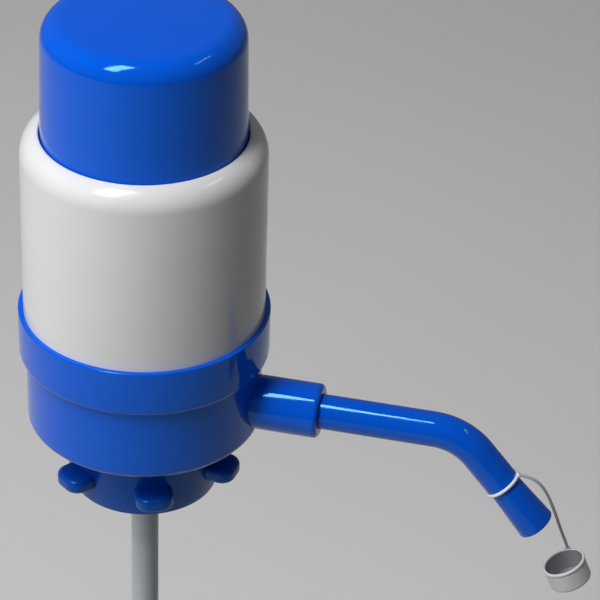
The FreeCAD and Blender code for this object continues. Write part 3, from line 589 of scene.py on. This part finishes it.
class PUMP_OT_press_cap(bpy.types.Operator):
    """Domed press cap with its stop flange and the rib that clamps the bellows"""

    bl_idname = "pump.press_cap"
    bl_label = "Press cap"

    def execute(self, context):
        sizes = context.scene.pump_sizes
        low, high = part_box("press_cap")
        side, wall, rounding = sizes.cap_side, sizes.cap_wall, sizes.cap_edge
        land_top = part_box("sleeve")[1].z + sizes.cap_land
        flange_top = low.z + sizes.cap_flange
        top_side = side - sizes.cap_draft
        centre = top_side - rounding
        crown_r = (centre ** 2 + sizes.cap_crown ** 2) / (2 * sizes.cap_crown)
        crown_angle = math.asin(centre / crown_r)
        crown_z = high.z - crown_r
        edge_z = crown_z + crown_r * math.cos(crown_angle) - rounding
        under_angle = math.atan2(centre, edge_z + rounding - wall - crown_z)
        bm = turned(
            160,
            (0, high.z),
            (0, crown_z, -math.degrees(crown_angle)),
            (centre, edge_z, -90),
            (side, land_top),
            (side, flange_top),
            (high.x, flange_top),
            (high.x, low.z),
            (side - wall, low.z),
            (side - wall, land_top),
            (top_side - wall, edge_z),
            (centre, edge_z, 90),
            (0, crown_z, math.degrees(under_angle)),
        )
        rib_out, rib_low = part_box("top_plate")[1].x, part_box("bellows")[1].z
        rib_in, rib_top = rib_out - sizes.cap_rib, high.z - wall
        join(bm, turned(96, (rib_in, rib_low), (rib_out, rib_low), (rib_out, rib_top), (rib_in, rib_top)))
        make_piece("press_cap_shell", bm, "cap", "Moulded ABS, blue", "press_cap", sizes.edge)
        dress("Moulded ABS, inner white", "top_plate", "intake_valve_cage")
        dress("Drawn stainless steel", "top_screws")
        return {"FINISHED"}


class PUMP_OT_sleeve(bpy.types.Operator):
    """White outer sleeve with its rounded shoulder and the lip round the cap"""

    bl_idname = "pump.sleeve"
    bl_label = "Sleeve"

    def execute(self, context):
        sizes = context.scene.pump_sizes
        low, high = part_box("sleeve")
        radius, wall, shoulder = sizes.sleeve_radius, sizes.sleeve_wall, sizes.shoulder
        lip, edge = sizes.lip_radius, sizes.lip_edge
        centre = radius - shoulder
        outer_angle = math.acos((lip + edge - centre) / shoulder)
        shoulder_z = high.z - shoulder * math.sin(outer_angle)
        inner = shoulder - wall
        inner_angle = math.acos((lip - centre) / inner)
        bead_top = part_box("base_housing")[1].z - sizes.bead_drop
        bm = turned(
            192,
            (radius - wall, low.z),
            (radius, low.z),
            (radius, bead_top - sizes.bead_height),
            (radius + sizes.bead_rise, bead_top - sizes.bead_height / 2),
            (radius, bead_top),
            (radius, shoulder_z),
            (centre, shoulder_z, math.degrees(outer_angle)),
            (lip + edge, high.z - edge, 90),
            (lip, shoulder_z + inner * math.sin(inner_angle)),
            (centre, shoulder_z, -math.degrees(inner_angle)),
        )
        make_piece("sleeve_shell", bm, "base", "Moulded ABS, white", "sleeve", sizes.edge)
        return {"FINISHED"}


class PUMP_OT_base_housing(bpy.types.Operator):
    """Blue base: cup, collar band, neck skirt, water way, and floor with its air holes"""

    bl_idname = "pump.base_housing"
    bl_label = "Base housing"

    def execute(self, context):
        sizes = context.scene.pump_base_sizes
        low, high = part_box("base_housing")
        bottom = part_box("clamp_ring")[1].z + sizes.ring_below
        cup_r, wall, cup_edge = sizes.cup_radius, sizes.cup_wall, sizes.cup_edge
        collar_r, rim = high.y, sizes.collar_rim
        collar_foot, collar_edge = sizes.collar_foot, sizes.collar_edge
        skirt_out = sizes.skirt_bore + sizes.skirt_wall
        floor_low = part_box("neck_gasket")[1].z
        column_top = SPOUT_AXIS_Z + sizes.column_radius
        spigot_end = floor_low - sizes.spigot_drop
        bm = turned(
            192,
            (skirt_out, bottom),
            (cup_r - cup_edge, bottom),
            (cup_r - cup_edge, bottom + cup_edge, 90),
            (cup_r, collar_foot),
            (collar_r - collar_edge, collar_foot),
            (collar_r - collar_edge, collar_foot + collar_edge, 90),
            (collar_r, high.z - rim),
            (collar_r - rim, high.z - rim, 90),
            (sizes.collar_bore, high.z),
            (sizes.collar_bore, sizes.shelf),
            (cup_r - wall, sizes.shelf),
            (cup_r - wall, bottom + wall),
            (skirt_out, bottom + wall),
            (skirt_out, sizes.floor_top),
            (sizes.column_radius, sizes.floor_top),
            (sizes.column_radius, column_top),
            (0, column_top),
            (0, SPOUT_AXIS_Z),
            (sizes.channel_bore, SPOUT_AXIS_Z),
            (sizes.channel_bore, 0),
            (sizes.spigot_bore, 0),
            (sizes.spigot_bore, spigot_end),
            (sizes.spigot_radius, spigot_end),
            (sizes.spigot_radius, floor_low),
            (sizes.skirt_bore, floor_low),
            (sizes.skirt_bore, low.z),
            (skirt_out, low.z),
        )
        boss_foot, boss_top = bottom + wall / 2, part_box("valve_plate")[0].z
        boss_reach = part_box("base_screws")[1].x - sizes.screw_head
        for place in corners(boss_reach, (boss_top + boss_foot) / 2):
            add_rod(bm, sizes.boss_radius, boss_top - boss_foot, place, 40)
        blue, edge = "Moulded ABS, blue", context.scene.pump_sizes.edge
        housing = make_piece("base_shell", bm, "base", blue, "base_housing", edge)
        holes = bmesh.new()
        for place in corners(sizes.air_hole_place * math.sqrt(0.5), (sizes.floor_top + floor_low) / 2):
            add_rod(holes, sizes.air_hole, 2 * (sizes.floor_top - floor_low), place, 32)
        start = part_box("outlet_pipe")[0].x
        socket_start, way_end = cup_r - 2 * wall - start, cup_r - start
        way = turned(
            64,
            (0, 0),
            (sizes.channel_radius, 0),
            (sizes.channel_radius, socket_start),
            (sizes.socket_radius, socket_start),
            (sizes.socket_radius, way_end),
            (0, way_end),
        )
        place_shell(way, math.pi / 2, "Y", (start, 0, SPOUT_AXIS_Z))
        join(holes, way)
        cut_holes(housing, holes)
        return {"FINISHED"}


class PUMP_OT_outlet_pipe(bpy.types.Operator):
    """Water pipe through the cup's wall, with the socket for the spout"""

    bl_idname = "pump.outlet_pipe"
    bl_label = "Outlet pipe"

    def execute(self, context):
        sizes = context.scene.pump_base_sizes
        low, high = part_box("outlet_pipe")
        reach, rounding = high.x - low.x, sizes.socket_edge
        socket_start = sizes.cup_radius - 2 * sizes.cup_wall - low.x
        bm = turned(
            96,
            (sizes.channel_bore, 0),
            (sizes.channel_radius, 0),
            (sizes.channel_radius, socket_start),
            (sizes.socket_radius, socket_start),
            (sizes.socket_radius, reach - rounding),
            (sizes.socket_radius - rounding, reach - rounding, 90),
            (sizes.socket_bore, reach),
            (sizes.socket_bore, reach - sizes.socket_depth),
            (sizes.channel_bore, reach - sizes.socket_depth),
        )
        place_shell(bm, math.pi / 2, "Y", (low.x, 0, SPOUT_AXIS_Z))
        blue, edge = "Moulded ABS, blue", context.scene.pump_sizes.edge
        make_piece("outlet_pipe_shell", bm, "base", blue, "outlet_pipe", edge)
        return {"FINISHED"}


class PUMP_OT_clamp_ring(bpy.types.Operator):
    """Clamp ring with its grip lobes, and the slotted collet inside it"""

    bl_idname = "pump.clamp_ring"
    bl_label = "Clamp ring"

    def execute(self, context):
        sizes = context.scene.pump_base_sizes
        low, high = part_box("clamp_ring")
        gap = sizes.ring_gap
        land = sizes.skirt_bore + sizes.skirt_wall + gap
        outer = land + sizes.ring_wall
        skirt_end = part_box("base_housing")[0].z
        collet_low, collet_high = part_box("collet")
        cone_top = collet_high.x + gap
        cone_low = cone_top - sizes.ring_cone
        bm = turned(
            160,
            (cone_low, low.z),
            (sizes.ring_foot, low.z),
            (outer, low.z + sizes.ring_taper),
            (outer, high.z),
            (land, high.z),
            (land, skirt_end),
            (cone_top, skirt_end),
            (cone_top, collet_low.z + sizes.ring_cone_height),
            (cone_low, collet_low.z - gap),
        )
        for k in range(6):
            lobe = self.draw_lobe(sizes, land + sizes.lobe_root)
            turn = sizes.lobe_turn + math.radians(60.0 * k)
            place_shell(lobe, turn, "Z", (0, 0, high.z - sizes.lobe_drop))
            join(bm, lobe)
        # Its material is the blue darkened with painted shade
        blue, edge = "Moulded ABS, ring blue with painted shade", context.scene.pump_sizes.edge
        make_piece("clamp_ring_shell", bm, "clamp_ring", blue, "clamp_ring", edge)
        dress("Moulded ABS, inner white", "collet")
        return {"FINISHED"}

    def draw_lobe(self, sizes, root):
        """One grip lobe along +X, from its root in the ring's wall to its rounded tip."""
        half, foot = sizes.lobe_width / 2, -sizes.lobe_height / 2
        corner, reach = sizes.lobe_corner, sizes.lobe_reach
        lobe = bmesh.new()
        start = lobe.verts.new((root, -half, foot))
        pen = draw_to(lobe, start, (reach - corner, -half, foot))
        pen = draw_arc(lobe, pen, (reach - corner, corner - half, 0), (0, 0, 1), 90, 10)
        pen = draw_to(lobe, pen, (reach, half - corner, foot))
        pen = draw_arc(lobe, pen, (reach - corner, half - corner, 0), (0, 0, 1), 90, 10)
        pen = draw_to(lobe, pen, (root, half, foot))
        lobe.edges.new((pen, start))
        bmesh.ops.contextual_create(lobe, geom=lobe.edges[:])
        lifted = bmesh.ops.extrude_face_region(lobe, geom=lobe.faces[:])["geom"]
        lifted = [v for v in lifted if isinstance(v, bmesh.types.BMVert)]
        bmesh.ops.translate(lobe, verts=lifted, vec=(0, 0, sizes.lobe_height))
        bmesh.ops.recalc_face_normals(lobe, faces=lobe.faces)
        rims = [e for e in lobe.edges if abs(e.verts[0].co.z - e.verts[1].co.z) < TINY]
        bmesh.ops.bevel(
            lobe, geom=rims, offset=sizes.lobe_edge, segments=6, profile=0.5, affect="EDGES", material=-1
        )
        return lobe


class PUMP_OT_spout(bpy.types.Operator):
    """Bent spout tube with its grooved stub and O-rings"""

    bl_idname = "pump.spout"
    bl_label = "Spout"

    def execute(self, context):
        sizes = context.scene.pump_spout_sizes
        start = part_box("spout_tube")[0].x
        tangent = sizes.bend_radius * math.tan(BEND / 2)
        run = sizes.bend_corner - tangent - start
        outer, bore = sizes.tube_radius, sizes.tube_bore
        groove_floor = outer - sizes.groove_depth
        steps = [(bore, 0), (outer, 0)]
        for node in ("spout_oring_inner", "spout_oring_outer"):
            middle = sum(corner.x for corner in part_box(node)) / 2 - start
            near, far = middle - sizes.groove_half, middle + sizes.groove_half
            steps += [(outer, near), (groove_floor, near), (groove_floor, far), (outer, far)]
        bm = bmesh.new()
        outline(bm, (bore, run), *steps, (outer, run), closed=False)
        spin_round(bm, 72)
        place_shell(bm, math.pi / 2, "Y", (start, 0, SPOUT_AXIS_Z))
        rings = [e for e in bm.edges if e.is_boundary]
        rings += dict.fromkeys(v for e in rings for v in e.verts)
        centre = (sizes.bend_corner - tangent, 0, SPOUT_AXIS_Z - sizes.bend_radius)
        bent = bmesh.ops.spin(bm, geom=rings, cent=centre, axis=(0, 1, 0), angle=BEND, steps=28)
        self.draw_nozzle(bm, bent["geom_last"], sizes, tangent)
        bmesh.ops.recalc_face_normals(bm, faces=bm.faces)
        blue = "Moulded ABS, spout blue"
        make_piece("spout_shell", bm, "spout", blue, "spout_tube", sizes.tube_edge)
        dress("Nitrile rubber, black", "spout_oring_inner", "spout_oring_outer")
        return {"FINISHED"}

    def draw_nozzle(self, bm, rings, sizes, tangent):
        """Runs both walls on to the tip, widens them, and rounds the tip over to the bore."""
        straight, edge, tip = sizes.nozzle - tangent, sizes.tip_edge, sizes.tip_radius
        origin = Vector((sizes.bend_corner, 0, SPOUT_AXIS_Z)) + NOZZLE_LINE * tangent
        waist = straight - sizes.ring_from_tip - sizes.ring_wire - FIT
        stops = [(waist, sizes.tube_radius), (waist, sizes.waist_radius), (straight - edge, tip)]
        for turn in [math.radians(15 * k) for k in range(1, 7)]:
            stops.append((straight - edge + edge * math.sin(turn), tip - edge + edge * math.cos(turn)))
        stops.append((straight, sizes.tip_bore))
        edges = [e for e in rings if isinstance(e, bmesh.types.BMEdge)]
        wall_middle = (sizes.tube_radius + sizes.tube_bore) / 2
        outer = [e for e in edges if self.across(e.verts[0], origin).length > wall_middle]
        inner = [e for e in edges if e not in outer]
        for along, radius in stops:
            outer = self.push(bm, outer, origin, along, radius)
        self.push(bm, inner, origin, straight, sizes.tip_bore)
        bmesh.ops.remove_doubles(bm, verts=bm.verts, dist=2 * TINY)

    def across(self, vert, origin):
        """The straight way from the nozzle's axis to a vertex."""
        offset = vert.co - origin
        return offset - NOZZLE_LINE * offset.dot(NOZZLE_LINE)

    def push(self, bm, edges, origin, along, radius):
        """Extrudes a ring of edges to a place along the nozzle, at a radius."""
        made = bmesh.ops.extrude_edge_only(bm, edges=edges)["geom"]
        for vert in [v for v in made if isinstance(v, bmesh.types.BMVert)]:
            vert.co = origin + NOZZLE_LINE * along + self.across(vert, origin).normalized() * radius
        return [e for e in made if isinstance(e, bmesh.types.BMEdge)]


class PUMP_OT_tether(bpy.types.Operator):
    """Tether ring, the strap that hangs from it, and the spout cap on the strap's end"""

    bl_idname = "pump.tether"
    bl_label = "Tether"

    def execute(self, context):
        sizes = context.scene.pump_spout_sizes
        self.make_ring(sizes)
        cap = self.make_cap(sizes)
        curve = bpy.data.curves.new("strap", "CURVE")
        curve.dimensions = "3D"
        curve.bevel_depth = sizes.strap_width / 2
        curve.bevel_resolution = 6
        curve.resolution_u = 24
        curve.use_fill_caps = True
        spline = curve.splines.new("NURBS")
        spline.points.add(len(STRAP_ROUTE) - 1)
        for point, place in zip(spline.points, STRAP_ROUTE):
            point.co = (*[c * MM for c in place], 1.0)
        spline.order_u = 3
        spline.use_endpoint_u = True
        curve.materials.append(bpy.data.materials["Polyethylene, strap grey"])
        strap = add_object("strap_cord", curve)
        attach(strap, "tether")
        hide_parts("tether_strap")
        return {"FINISHED"}

    def make_ring(self, sizes):
        """The ring round the nozzle, with the eye that the strap leaves from."""
        along = sizes.nozzle - sizes.ring_from_tip
        centre = Vector((sizes.bend_corner, 0, SPOUT_AXIS_Z)) + NOZZLE_LINE * along
        bm = bmesh.new()
        bmesh.ops.create_circle(bm, segments=20, radius=sizes.ring_wire)
        place_shell(bm, math.pi / 2, "X", (sizes.ring_radius, 0, 0))
        spin_round(bm, 96)
        eye = (-sizes.ring_radius - sizes.eye_length / 2, 0, 0)
        add_rod(bm, sizes.eye_radius, sizes.eye_length, eye, 32, math.pi / 2)
        place_shell(bm, math.pi / 2 + BEND, "Y", centre)
        white = "Polyethylene, bluish white"
        make_piece("tether_ring_band", bm, "tether", white, "tether_ring", sizes.soft_edge)

    def make_cap(self, sizes):
        """The cup-shaped spout cap, which hangs mouth up from its ear."""
        bore, outer, edge = sizes.cup_bore, sizes.cup_bore + sizes.cup_wall, sizes.cup_edge
        bead, bead_foot = outer + sizes.cup_bead, -sizes.cup_bead_height
        bottom, fillet = -sizes.cup_height, sizes.cup_fillet
        floor = bottom + sizes.cup_floor
        bm = turned(
            96,
            (0, bottom),
            (outer - edge, bottom),
            (outer - edge, bottom + edge, 90),
            (outer, bead_foot),
            (bead, bead_foot + sizes.cup_bead),
            (bead, -sizes.cup_bead),
            (outer, 0),
            (bore, 0),
            (bore, floor + fillet),
            (bore - fillet, floor + fillet, -90),
            (0, floor),
        )
        # The faces inside the cup get the second material, a darker grey that is painted shade
        for face in bm.faces:
            middle = face.calc_center_median()
            face.material_index = int(middle.z > floor - FIT and math.hypot(middle.x, middle.y) < bore)
        ear = (0, outer + sizes.ear_place, -sizes.ear_height / 2)
        add_rod(bm, sizes.ear_radius, sizes.ear_height, ear, 40)
        place_shell(bm, -SPOUT_CAP_TILT, "Y", SPOUT_CAP_PLACE)
        grey = "Polyethylene, grey"
        cup = make_piece("spout_cap_cup", bm, "tether", grey, "spout_cap", sizes.soft_edge)
        # Second material: the darker grey that paints shade inside the cup
        cup.data.materials.append(bpy.data.materials["Polyethylene, grey with painted shade"])
        return cup


class PUMP_OT_bellows(bpy.types.Operator):
    """Bellows and return spring, which close up as the cap goes down"""

    bl_idname = "pump.bellows"
    bl_label = "Bellows and spring"

    def execute(self, context):
        sizes = context.scene.pump_inner_sizes
        low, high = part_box("bellows")
        wall, rim = sizes.bellows_wall, sizes.rim
        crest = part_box("top_plate")[1].x + sizes.crest
        root, rim_in = crest - sizes.fold, crest - sizes.rim_width
        foot = low.z + sizes.bellows_foot
        pitch = (high.z - sizes.bellows_cuff - foot) / (sizes.folds - 0.5)
        # Half the flat on each crest and root
        land = pitch / 10
        wave = [(root, foot)]
        for k in range(2 * sizes.folds - 1):
            middle, radius = foot + (k + 1) * pitch / 2, root if k % 2 else crest
            wave += [(radius, middle - land), (radius, middle + land)]
        bm = turned(
            96,
            (root - wall, low.z),
            (high.x, low.z),
            (high.x, low.z + rim),
            (root, low.z + rim),
            *wave,
            (crest, high.z),
            (rim_in, high.z),
            (rim_in, high.z - rim),
            (crest - wall, high.z - rim),
            *[(radius - wall, z) for radius, z in reversed(wave)],
        )
        milky = "Blown polyethylene, milky"
        bellows = make_piece("bellows_wall", bm, "base", milky, "bellows")
        self.fold(bellows, low, high)
        self.make_spring(sizes)
        return {"FINISHED"}

    def fold(self, piece, low, high):
        """Gives a piece its own copy of its mesh."""
        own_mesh(piece)

    def make_spring(self, sizes):
        """A helix of steel wire between the two plates."""
        low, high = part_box("return_spring")
        wire = sizes.wire
        rise = high.z - low.z - 2 * wire
        turns = rise / sizes.coil
        steps = round(turns * SPRING_STEPS)
        climb = (0, 0, rise / steps)
        bm = bmesh.new()
        bmesh.ops.create_circle(bm, segments=14, radius=wire, cap_ends=True)
        place_shell(bm, math.pi / 2, "X", (high.x - wire, 0, low.z + wire))
        bmesh.ops.spin(
            bm, geom=bm.faces[:], axis=(0, 0, 1), dvec=climb, angle=math.tau * turns, steps=steps
        )
        bmesh.ops.recalc_face_normals(bm, faces=bm.faces)
        steel = "Drawn stainless steel"
        spring = make_piece("return_spring_coil", bm, "base", steel, "return_spring")
        self.fold(spring, low, high)


class PUMP_OT_inner_parts(bpy.types.Operator):
    """Finishes of the valves, plates, seals and screws, which keep their packed shapes"""

    bl_idname = "pump.inner_parts"
    bl_label = "Inner parts"

    def execute(self, context):
        dress("Moulded ABS, inner white", "valve_plate", "bellows_clamp_ring", "delivery_valve_cage")
        dress("Silicone, pale", "neck_gasket", "plate_seal", "intake_valve_disc", "delivery_valve_disc")
        dress("Drawn stainless steel", "base_screws")
        return {"FINISHED"}


class PUMP_OT_dip_tube(bpy.types.Operator):
    """Dip tube in three lengths, with its couplings and its slotted foot"""

    bl_idname = "pump.dip_tube"
    bl_label = "Dip tube"

    def execute(self, context):
        sizes = context.scene.pump_inner_sizes
        milky, white = "Extruded polypropylene", "Moulded ABS, inner white"
        for node in ("dip_tube_upper", "dip_tube_middle", "dip_tube_lower"):
            low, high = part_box(node)
            bore = high.x - sizes.dip_wall
            bm = turned(64, (bore, low.z), (high.x, low.z), (high.x, high.z), (bore, high.z))
            make_piece(node + "_wall", bm, "base", milky, node, sizes.dip_edge)
        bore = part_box("dip_tube_upper")[1].x + FIT
        for node in ("coupling_upper", "coupling_lower"):
            low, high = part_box(node)
            side, middle = high.x - sizes.grip, (low.z + high.z) / 2
            bm = turned(
                64,
                (bore, low.z),
                (side, low.z),
                (side, middle - sizes.grip_foot),
                (high.x, middle - sizes.grip_half),
                (high.x, middle + sizes.grip_half),
                (side, middle + sizes.grip_foot),
                (side, high.z),
                (bore, high.z),
            )
            make_piece(node + "_sleeve", bm, "base", white, node, sizes.coupling_edge)
        dress(white, "foot_strainer")
        return {"FINISHED"}


def make_lamp(name, direction, distance, width, height, power, glint):
    """A soft rectangular lamp that faces the pump. With no glint it shows in no reflection."""
    lamp = bpy.data.lights.new(name, "AREA")
    lamp.shape = "RECTANGLE"
    lamp.size = width
    lamp.size_y = height
    lamp.energy = power
    holder = add_object(name, lamp)
    toward = Vector(direction).normalized()
    holder.visible_glossy = glint
    holder.location = LIT_PLACE + toward * distance
    holder.rotation_euler = toward.to_track_quat("Z", "Y").to_euler()


class PUMP_OT_stage(bpy.types.Operator):
    """Camera, lamps, pale floor and background"""

    bl_idname = "pump.stage"
    bl_label = "Stage"

    def execute(self, context):
        scene = context.scene
        view = scene.pump_view
        data = bpy.data.cameras.new("camera")
        data.lens = view.lens
        data.sensor_width = 36.0
        data.clip_end = 50.0
        camera = add_object("camera", data)
        flat = view.distance * math.cos(view.elevation)
        camera.location = (
            flat * math.sin(view.azimuth),
            -flat * math.cos(view.azimuth),
            view.centre + view.distance * math.sin(view.elevation),
        )
        heading = Matrix.Rotation(view.azimuth - view.yaw, 4, "Z")
        tilt = Matrix.Rotation(math.pi / 2 - view.pitch, 4, "X")
        camera.rotation_euler = (heading @ tilt @ Matrix.Rotation(view.roll, 4, "Z")).to_euler()
        scene.camera = camera
        scene.view_settings.view_transform = "Standard"
        for name, lamp in LAMPS.items():
            make_lamp(name, *lamp)
        self.make_surroundings(scene)
        return {"FINISHED"}

    def make_surroundings(self, scene):
        """A weak even light from all round, a backdrop that only shows, and the floor."""
        world = bpy.data.worlds.new("studio")
        world.use_nodes = True
        tree = world.node_tree
        tree.nodes.clear()
        sky = add_node(tree, "ShaderNodeBackground", {"Color": linear("ffffff"), "Strength": 0.08})
        backdrop = {"Color": scene.pump_colours.backdrop_grey, "Strength": 1.0}
        seen = add_node(tree, "ShaderNodeBackground", backdrop)
        pair = {0: seen_directly(tree), 1: sky.outputs["Background"], 2: seen.outputs["Background"]}
        mix = add_node(tree, "ShaderNodeMixShader", pair)
        add_node(tree, "ShaderNodeOutputWorld", {"Surface": mix.outputs["Shader"]})
        scene.world = world
        bm = bmesh.new()
        bmesh.ops.create_grid(bm, x_segments=1, y_segments=1, size=6.0)
        bmesh.ops.translate(bm, verts=bm.verts, vec=(0, 0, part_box("foot_strainer")[0].z - FLOOR_GAP))
        mesh = finished_mesh("floor", bm)
        mesh.materials.append(bpy.data.materials["Matt floor paint"])
        add_object("floor", mesh)


OPERATORS = (
    PUMP_OT_materials,
    PUMP_OT_stage,
    PUMP_OT_press_cap,
    PUMP_OT_sleeve,
    PUMP_OT_base_housing,
    PUMP_OT_outlet_pipe,
    PUMP_OT_clamp_ring,
    PUMP_OT_spout,
    PUMP_OT_tether,
    PUMP_OT_bellows,
    PUMP_OT_inner_parts,
    PUMP_OT_dip_tube,
)


class PUMP_PT_panel(bpy.types.Panel):
    """Buttons that build the pump's pieces, and their sizes and colours"""

    bl_idname = "PUMP_PT_panel"
    bl_label = "Jug Pump"
    bl_space_type = "VIEW_3D"
    bl_region_type = "UI"
    bl_category = "Jug Pump"

    def draw(self, context):
        for operator in OPERATORS:
            self.layout.operator(operator.bl_idname)
        for name, group in GROUPS.items():
            box = self.layout.box()
            box.label(text=group.__doc__)
            for key in group.__annotations__:
                box.prop(getattr(context.scene, name), key)


def register():
    """Registers the property groups, the operators and the panel."""
    for name, group in GROUPS.items():
        bpy.utils.register_class(group)
        setattr(bpy.types.Scene, name, bpy.props.PointerProperty(type=group))
    for operator in OPERATORS:
        bpy.utils.register_class(operator)
    bpy.utils.register_class(PUMP_PT_panel)


def unregister():
    """Takes them all out again."""
    bpy.utils.unregister_class(PUMP_PT_panel)
    for operator in reversed(OPERATORS):
        bpy.utils.unregister_class(operator)
    for name, group in reversed(GROUPS.items()):
        delattr(bpy.types.Scene, name)
        bpy.utils.unregister_class(group)


def main():
    """Builds every piece."""
    register()
    for operator in OPERATORS:
        group, name = operator.bl_idname.split(".")
        getattr(getattr(bpy.ops, group), name)()


if __name__ == "__main__":
    main()
